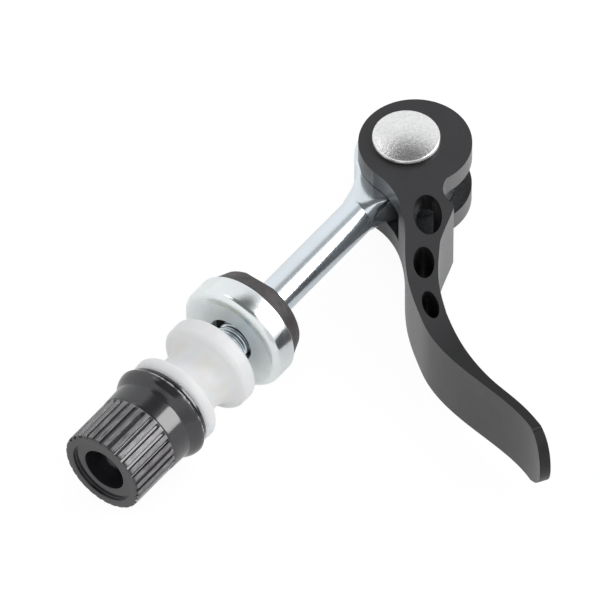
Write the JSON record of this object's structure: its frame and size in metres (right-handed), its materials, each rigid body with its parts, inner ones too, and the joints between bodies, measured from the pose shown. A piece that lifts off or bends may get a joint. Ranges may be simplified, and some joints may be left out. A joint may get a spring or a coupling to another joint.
{
  "type": "seatpost quick release bolt",
  "caption": "Quick release bolt for a seatpost clamp: cam lever riveted to a forged eye bolt, with cup washer, cam pad, white spool and ribbed grip nut.",
  "frame": {"origin": "on the bolt's axis, in the plane of the cup washer's clamp face", "axes": "+X along the bolt from the lever to the nut, +Z along the pivot towards the rivet's domed head, as the set lies on a table"},
  "size_m": [0.0878, 0.0643, 0.0188],
  "materials": {
    "bolt_zinc": "bright zinc plating on forged steel",
    "lever_black": "satin black anodising",
    "rivet_zinc": "mottled zinc plating",
    "pad_plastic": "plain moulded black",
    "washer_zinc": "bright zinc plating",
    "spool_nylon": "milky natural nylon",
    "nut_black": "gloss black paint, worn on the ribs"
  },
  "bodies": {
    "bolt": {"eye_bolt": "bolt_zinc"},
    "lever": {"lever": "lever_black", "pivot_rivet": "rivet_zinc"},
    "washer": {"cup_washer": "washer_zinc", "cam_pad": "pad_plastic"},
    "spool": {"spool": "spool_nylon"},
    "nut": {"grip_nut": "nut_black"}
  },
  "joints": [
    {"name": "lever_swing", "type": "hinge", "parent": "bolt", "child": "lever", "pos_m": [-0.0457, 0, 0], "axis": [0, 0, 1], "range_deg": [0, 252]},
    {"name": "washer_slide", "type": "slide", "parent": "bolt", "child": "washer", "axis": [1, 0, 0], "range_m": [-0.026, 0.0014]},
    {"name": "spool_slide", "type": "slide", "parent": "bolt", "child": "spool", "axis": [1, 0, 0], "range_m": [-0.002, 0.006]},
    {"name": "nut_turn", "type": "hinge", "parent": "spool", "child": "nut", "pos_m": [0.0162, 0, 0], "axis": [1, 0, 0], "range_deg": [-720, 2160]}
  ],
  "couplings": [
    {"joint": "spool_slide", "follows": "nut_turn", "m_per_rad": 0.00015915}
  ]
}
